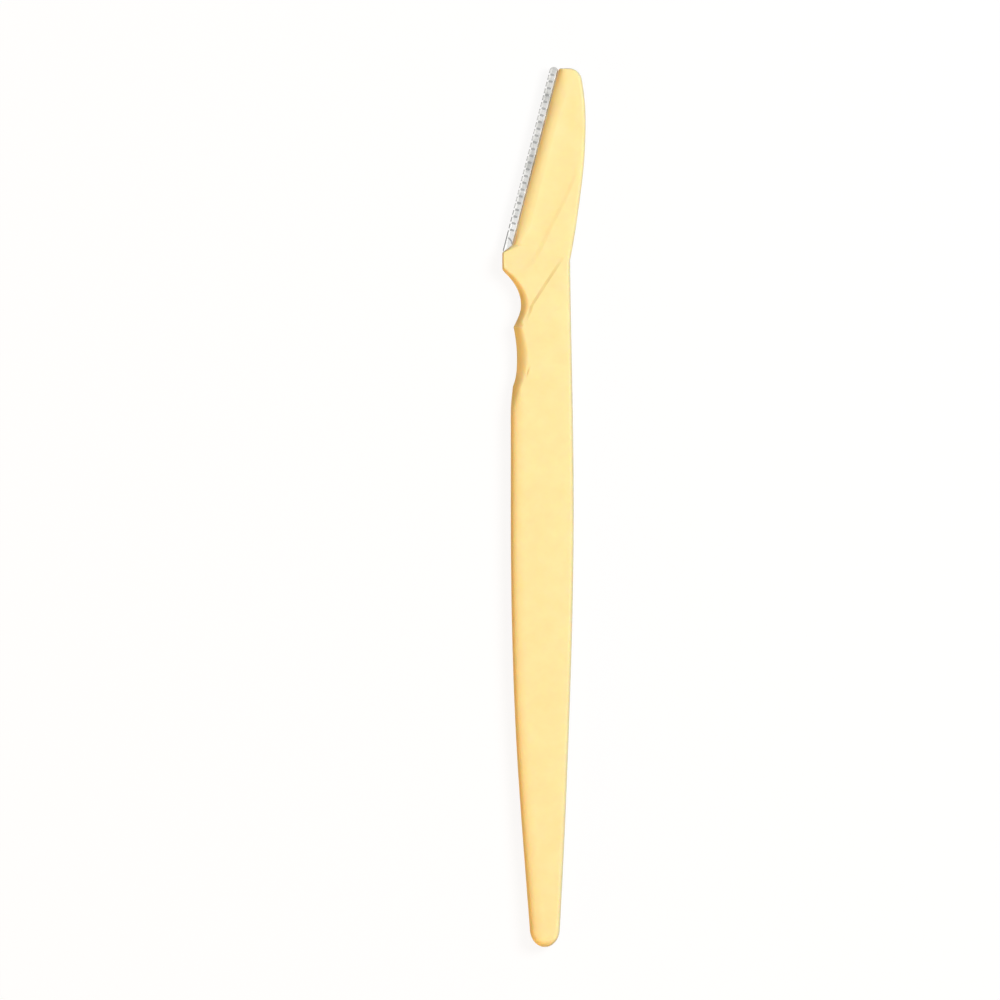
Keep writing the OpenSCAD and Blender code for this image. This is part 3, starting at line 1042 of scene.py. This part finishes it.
# %% [markdown]
# ## The clamp plate
# The solid model already has this plate in its right shape. A copy of it is welded into one
# skin, its flat faces are joined up, and a fine bevel rounds its edges as moulding does.

# %% Clamp plate
plate_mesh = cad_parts["clamp_plate"].data.copy()
plate = bpy.data.objects.new("clamp_plate_moulding", plate_mesh)
bpy.context.scene.collection.objects.link(plate)
place(plate, resized(1 / MM))
paint(plate, plate_plastic)
modify(plate, "WELD", merge_threshold=0.002)
modify(plate, "DECIMATE", decimate_type="DISSOLVE", angle_limit=math.radians(2))
modify(
    plate,
    "BEVEL",
    width=0.08,
    segments=3,
    limit_method="ANGLE",
    angle_limit=math.radians(40),
)
settle(plate, sharp_angle=35)
place(plate, resized(MM))

# %% [markdown]
# ## The folded sheet of the guard
# The guard starts as one thin strip that is folded over the cutting edge. Its section is a
# hairpin: two tangs in the head, a bend outwards at the lip, a flat shoulder, a slope and
# the fold. The outer and the inner skin have the same number of points, so the ends close
# with plain quads.

# %% Guard section
guard_reach = 1.5
guard_height = 0.6
guard_nose = 0.24
guard_slope = 0.5
rail_width = 0.5
guard_bend = rail_width * 0.2
guard_bend_top = rail_width * 0.48
guard_tang = tang_width - tang_margin
bend_fillet = 0.05
fold_gap = 0.02
fold_inner_radius = 0.015
nose_steps = 10


def guard_leg(height, leg):
    """One leg from the fold to the tang, with its bends rounded."""
    corners = [
        (guard_nose / 2 - guard_reach, guard_nose / 2, 0),
        (guard_slope - guard_reach, height, bend_fillet),
        (-guard_bend_top, height, bend_fillet),
        (-guard_bend, leg, bend_fillet),
        (guard_tang, leg, 0),
    ]
    columns = [(np.array([x]), np.array([z]), fillet) for x, z, fillet in corners]
    return [tuple(point) for point in filleted(columns)[0][1:]]


def skin(height, leg, nose_x, nose_radius):
    upper = guard_leg(height, leg)
    nose = []
    for i in range(nose_steps + 1):
        angle = math.pi / 2 + math.pi * i / nose_steps
        nose.append((nose_x + nose_radius * math.cos(angle), nose_radius * math.sin(angle)))
    return list(reversed(upper)) + nose + [(x, -z) for x, z in upper]


outer_skin = skin(
    guard_height / 2, stack_half, guard_nose / 2 - guard_reach, guard_nose / 2
)
inner_skin = skin(
    guard_height / 2 - guard_sheet,
    stack_half - guard_sheet,
    guard_nose - guard_reach + fold_gap,
    fold_inner_radius,
)
print("guard section has", len(outer_skin), "points a side")


# %% Folded sheet
def folded_sheet(name, low, high):
    """Joins four rows of points: a and b are the skins' low ends, c and d the high ones."""
    count = len(outer_skin)
    vertices = [(x, y, z) for y in (low, high) for x, z in outer_skin + inner_skin]
    a, b, c, d = (row * count for row in range(4))
    faces = []
    for i in range(count - 1):
        j = i + 1
        faces.append((a + i, a + j, c + j, c + i))
        faces.append((b + j, b + i, d + i, d + j))
        faces.append((a + j, a + i, b + i, b + j))
        faces.append((c + i, c + j, d + j, d + i))
    last = count - 1
    faces.append((a, c, d, b))
    faces.append((a + last, b + last, d + last, c + last))
    return make_piece(name, vertices, faces)


ledge_fall = ledge_depth * math.sin(blade_lean) + ledge_rise * math.cos(blade_lean)
ledge_out = ledge_depth * math.cos(blade_lean) - ledge_rise * math.sin(blade_lean)
guard = folded_sheet("comb_guard", -ledge_fall, head_edge + overrun)

# %% [markdown]
# ## Trimming the sheet to its outline
# The folded strip is trimmed like a stamping: square to the ledge at the foot, narrow
# tangs in the head, and a round end above the tip. The outline is one polygon, and what
# lies inside it stays.

# %% Metal outline
tip_overhang = 0.25
end_radius = guard_reach / 2
end_steps = 16
side_clearance = 0.05
side_x_out = -guard_reach - side_clearance
foot_corner = (-ledge_out * 0.93, -ledge_fall * 0.9)
foot_side_y = -ledge_fall * 0.72
through = [(-guard_height, 0), (guard_height, 0)]

end_lean = end_radius * (1 + math.sin(blade_lean))
metal_end = (head_length + tip_overhang - end_lean) / math.cos(blade_lean)
tang = plate_outline(0, tang_margin)
metal_outline = [foot_corner, (0, fit_gap), (0, tang[0][1])]
metal_outline += tang[1:4] + [(0, tang[3][1])]
for i in range(end_steps + 1):
    angle = math.pi * i / end_steps
    x = end_radius * (math.cos(angle) - 1)
    metal_outline.append((x, metal_end + end_radius * math.sin(angle)))
metal_outline += [(side_x_out, metal_end), (side_x_out, foot_side_y)]
cut(guard, prism("metal_outline", metal_outline, through), "INTERSECT")

# %% [markdown]
# ## The comb of slots
# The slots let hairs through to the edge while the teeth keep the skin away. They repeat at
# an even pitch, so a node tree makes them: a line of points, a slot-shaped tool on each
# point, and one boolean that takes them all from the sheet. A weak noise then bends each
# tooth by a hundredth of a millimetre, as stamping does, so no two teeth shine alike.

# %% Comb tree
slot_pitch = 1.19
slot_width = 0.36
slot_depth = guard_reach - rail_width - slot_width / 2
slot_first = slot_pitch * 1.9
slot_count = int((metal_end - slot_first) / slot_pitch) + 1

comb_sizes = ["Pitch", "Slot Width", "Slot Depth", "First", "Reach", "Height", "Bend"]
tree, given, result = geometry_tree("Comb slots", comb_sizes, ["Extra Tools"])
sizes = given.outputs
edge_x = compute(tree, "MULTIPLY", sizes["Reach"], -1)
start = (edge_x, sizes["First"])
points = row_of_points(tree, sizes["Count"], start, sizes["Pitch"])
print("comb tree has", len(sizes) - 1, "inputs")

# %% Slot tool
depth, width, height = sizes["Slot Depth"], sizes["Slot Width"], sizes["Height"]
length = compute(tree, "MULTIPLY", depth, 2)
radius = compute(tree, "MULTIPLY", width, 0.5)
box_size = made(tree, "ShaderNodeCombineXYZ", X=length, Y=width, Z=height)
tool_box = made(tree, "GeometryNodeMeshCube", Size=box_size)
round_end = made(tree, "GeometryNodeMeshCylinder", Vertices=20, Radius=radius, Depth=height)
end_place = made(tree, "ShaderNodeCombineXYZ", X=depth)
tool_end = made(tree, "GeometryNodeTransform", Geometry=round_end, Translation=end_place)
print("slots are", round(slot_depth, 2), "mm deep up to their round end")

# %% Cutting the slots
slotted = add_node(tree, "GeometryNodeMeshBoolean", solver="EXACT")
slotted.operation = "DIFFERENCE"
feed(tree, slotted, Mesh_1=sizes["Geometry"], Self_Intersection=True)
for tool in (
    real_copies(tree, points, tool_box),
    real_copies(tree, points, tool_end),
    object_mesh(tree, sizes["Extra Tools"]),
):
    feed(tree, slotted, Mesh_2=tool)
print("tools in the boolean:", len(slotted.inputs["Mesh 2"].links))

# %% Uneven teeth
tooth_bend = 0.03
where = add_node(tree, "GeometryNodeInputPosition")
unevenness = add_node(tree, "ShaderNodeTexNoise", noise_dimensions="4D")
feed(tree, unevenness, Vector=where.outputs[0], W=3.7, Scale=0.9, Detail=1.0)
centred = add_node(tree, "ShaderNodeVectorMath", operation="SUBTRACT")
plug(tree, centred.inputs[0], unevenness.outputs["Color"])
plug(tree, centred.inputs[1], (0.5, 0.5, 0.5))
bend = add_node(tree, "ShaderNodeVectorMath", operation="SCALE")
feed(tree, bend, Vector=centred.outputs[0], Scale=sizes["Bend"])
sheet = slotted.outputs["Mesh"]
bent = made(tree, "GeometryNodeSetPosition", Geometry=sheet, Offset=bend.outputs[0])
finish_tree(tree, result, bent, sizes["Finish"])
print("comb tree has", len(tree.nodes), "nodes")

# %% [markdown]
# ## The end tab and the posts' holes
# Above the ledge a curved slot frees the sheet's last tab, so that it springs against the
# plastic. It is a stretch of a ring. The tools for it and for the posts' holes join the
# slots in the same boolean.

# %% Other tools
tab_radius = ledge_out * 0.75
tab_centre = (-guard_reach * 0.96, -ledge_fall * 0.12)
tab_from = math.radians(12)
tab_arc = math.radians(62)
tab_steps = 16
tab_slot_half = slot_width / 3
hole_steps = 24
hole_radius = post_radius + fit_gap


def around(centre, ring):
    """Points at a radius and an angle round a centre."""
    return [(centre[0] + r * math.cos(a), centre[1] + r * math.sin(a)) for r, a in ring]


tab_angles = [tab_from + tab_arc * i / tab_steps for i in range(tab_steps + 1)]
tab_ring = [(tab_radius + tab_slot_half, angle) for angle in tab_angles]
tab_ring += [(tab_radius - tab_slot_half, angle) for angle in reversed(tab_angles)]
hole_ring = [(hole_radius, 2 * math.pi * i / hole_steps) for i in range(hole_steps)]
tools = [prism("tab_tool", around(tab_centre, tab_ring), through)]
for i in range(post_count):
    centre = (post_x, post_from + i * post_step)
    tools.append(prism("hole_tool", around(centre, hole_ring), through))


def joined(name, parts):
    vertices = []
    faces = []
    for part in parts:
        start = len(vertices)
        vertices += [tuple(v.co) for v in part.data.vertices]
        faces += [tuple(start + i for i in p.vertices) for p in part.data.polygons]
        bpy.data.objects.remove(part)
    return make_piece(name, vertices, faces)


extra_tools = joined("extra_tools", tools)
print("other tools have", len(extra_tools.data.polygons), "faces")

# %% Making the guard
use_tree(
    guard,
    tree,
    Extra_Tools=extra_tools,
    Pitch=slot_pitch,
    Slot_Width=slot_width,
    Slot_Depth=slot_depth,
    First=slot_first,
    Reach=guard_reach,
    Height=guard_height * 2,
    Bend=tooth_bend,
    Count=slot_count,
    Finish=guard_steel,
)
bpy.data.objects.remove(extra_tools)
print(slot_count, "slots at a pitch of", slot_pitch, "mm")

# %% [markdown]
# ## The painted shade on the fold and the painted highlight on the foot
# The fold gets a dark band of colour: painted shade, which stands in for the shadow in the
# slots. A mapping node turns the pattern onto the blade line, where X is the distance from
# the edge. The painted shade follows the fold, and it is darkest beside the punched slots
# and by the ledge. By the ledge the sheet next to it is lightened: a painted highlight.

# %% Place on the blade line
tree = guard_steel.node_tree
shader = tree.nodes["Principled BSDF"]
line_matrix = (to_frame @ on_blade_line).inverted()
line_spot = object_place(
    tree,
    Location=line_matrix.translation,
    Rotation=(0, 0, blade_lean),
    Scale=(1 / MM, 1 / MM, 1 / MM),
)
line_place = add_node(tree, "ShaderNodeSeparateXYZ")
feed(tree, line_place, Vector=line_spot)
across = line_place.outputs["X"]
along = line_place.outputs["Y"]
print("pattern starts at", [round(c, 2) for c in line_matrix.translation])

# %% Painted shade band
fold_width = 0.2
band_full = fold_width * 0.4
least_painted_shade = 0.15
foot_full_y = slot_pitch * 3
foot_end_y = slot_pitch * 7

# Painted shade: a band of dark colour along the fold, strongest beside the slots and by the
# ledge.
band = ranged(tree, across, band_full - guard_reach, fold_width - guard_reach, 1, 0)
turns = compute(
    tree,
    "MULTIPLY_ADD",
    along,
    2 * math.pi / slot_pitch,
    -2 * math.pi * slot_first / slot_pitch,
)
beside_slots = ranged(tree, compute(tree, "COSINE", turns), -1, 1, least_painted_shade, 1)
by_ledge = ranged(tree, along, foot_full_y, foot_end_y, 1, 0)
painted_shade_pattern = compute(tree, "MAXIMUM", beside_slots, by_ledge)
painted_shade_share = compute(tree, "MULTIPLY", band, painted_shade_pattern)
print("dull band is", fold_width, "mm wide")

# %% Painted highlight on the foot and painted shade on the fold
# A painted highlight lightens the sheet by the ledge, and painted shade darkens the fold.
foot_highlight_strength = 0.45
foot_painted_highlight = (0.82, 0.82, 0.81)
fold_painted_shade = (0.13, 0.13, 0.125)
sheet_colour = shader.inputs["Base Color"].links[0].from_socket
foot_share = compute(tree, "MULTIPLY", by_ledge, foot_highlight_strength)
bright = colour_mix(tree, foot_share, sheet_colour, foot_painted_highlight)
feed(tree, shader, Base_Color=colour_mix(tree, painted_shade_share, bright, fold_painted_shade))
print("guard's finish has", len(tree.nodes), "nodes")

# %% [markdown]
# ## Placing the pieces
# Every piece was drawn in millimetres. One matrix brings it into the frame, and the
# pieces that were drawn on the blade line are first turned with it.

# %% Place
place(handle, to_frame)
place(guard, to_frame @ on_blade_line)
place(staked_posts, to_frame @ on_blade_line)
paint(handle, handle_plastic)
paint(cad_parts["blade"], blade_steel)

# %% [markdown]
# ## Riding on the body, and hiding the solids that are replaced
# Nothing on this razor moves, so every piece rides on the one body. The moulding, the
# guard and the plate stand for the solids of the same shape, and the blade's own solid
# stays and only gets its finish.

# %% Ride and replace
for piece, node, slot in (
    (handle, "handle", "handle_plastic"),
    (guard, "guard", "guard_steel"),
    (plate, "clamp_plate", "plate_plastic"),
    (staked_posts, None, "handle_plastic"),
):
    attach(piece, "root")
    if node:
        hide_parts(node)
    print(piece.name, "rides on root")

# %% [markdown]
# ## Floor and background
# The razor lies on a plain white floor. A part of the floor's white is its own light, seen
# only by the camera and in reflections, so the floor stays white while the lamps stay low,
# and it still shows the razor's soft shadow. In the same way the world looks white, and
# lights the razor with a weak warm colour only.

# %% Floor
floor_size = 1.5
floor_drop = 0.00002
floor_glow = 0.9
floor_z = cad_low.z - floor_drop
sides = (-floor_size, floor_size)
corners = [(x, y, floor_z) for x in sides for y in sides]
floor = make_piece("floor", corners, [(0, 2, 3, 1)])


def seen_directly(tree):
    """One for rays from the camera, from a glossy surface or through glass."""
    path = add_node(tree, "ShaderNodeLightPath").outputs
    first = compute(tree, "MAXIMUM", path["Is Camera Ray"], path["Is Glossy Ray"])
    return compute(tree, "MAXIMUM", first, path["Is Transmission Ray"])


floor_white, tree, shader = new_material("floor_white")
feed(
    tree,
    shader,
    Base_Color=(0.1, 0.1, 0.1, 1),
    Roughness=1.0,
    Specular_IOR_Level=0.0,
    Emission_Color=(1, 1, 1, 1),
    Emission_Strength=compute(tree, "MULTIPLY", seen_directly(tree), floor_glow),
)
paint(floor, floor_white)
print("floor lies at", floor_z, "m")

# %% World
ambient = (0.1, 0.08, 0.045)
white = (1, 1, 1)
world = bpy.data.worlds.new("studio")
bpy.context.scene.world = world
world.use_nodes = True
tree = world.node_tree
sky = colour_mix(tree, seen_directly(tree), ambient, white)
feed(tree, tree.nodes["Background"], Color=sky)
print("world lights with", ambient)

# %% [markdown]
# ## Lamps
# A large soft lamp stands to the upper right, so faces that look left fall into gentle
# shade. A weaker one above keeps the front face even, and a small one on the left gives
# the comb a glint. Two warm lamps stand low, a golden one on the left and a weaker one
# below the tail, and warm the edges that look their way. They and the one above stay out
# of reflections.

# %% Lamps
daylight = (0.96, 0.98, 1.0)
gold = (1.0, 0.5, 0.06)
warm = (1.0, 0.62, 0.25)
lamps = [
    # name, direction, distance, size, power, colour, seen in reflections
    ("key", (0.55, 0.28, 0.82), 0.9, 0.45, 7.15, daylight, True),
    ("overhead", (0.0, 0.1, 1.0), 0.9, 0.45, 1.0, daylight, False),
    ("comb_glint", (-0.68, 0.18, 0.7), 0.9, 0.3, 0.16, white, True),
    ("gold_bounce", (-0.92, -0.38, 0.27), 0.8, 0.5, 3.6, gold, False),
    ("tail_fill", (0.12, -0.95, 0.28), 0.8, 0.4, 2.2, warm, False),
]
for name, direction, distance, size, power, colour, mirrored in lamps:
    data = bpy.data.lights.new(name, "AREA")
    data.shape = "DISK"
    data.size = size
    data.energy = power
    data.color = colour
    lamp = bpy.data.objects.new(name, data)
    aim = Vector(direction).normalized()
    lamp.location = aim * distance
    lamp.rotation_euler = aim.to_track_quat("Z", "Y").to_euler()
    lamp.visible_glossy = mirrored
    bpy.context.scene.collection.objects.link(lamp)
    print(name, "shines with", power, "W")
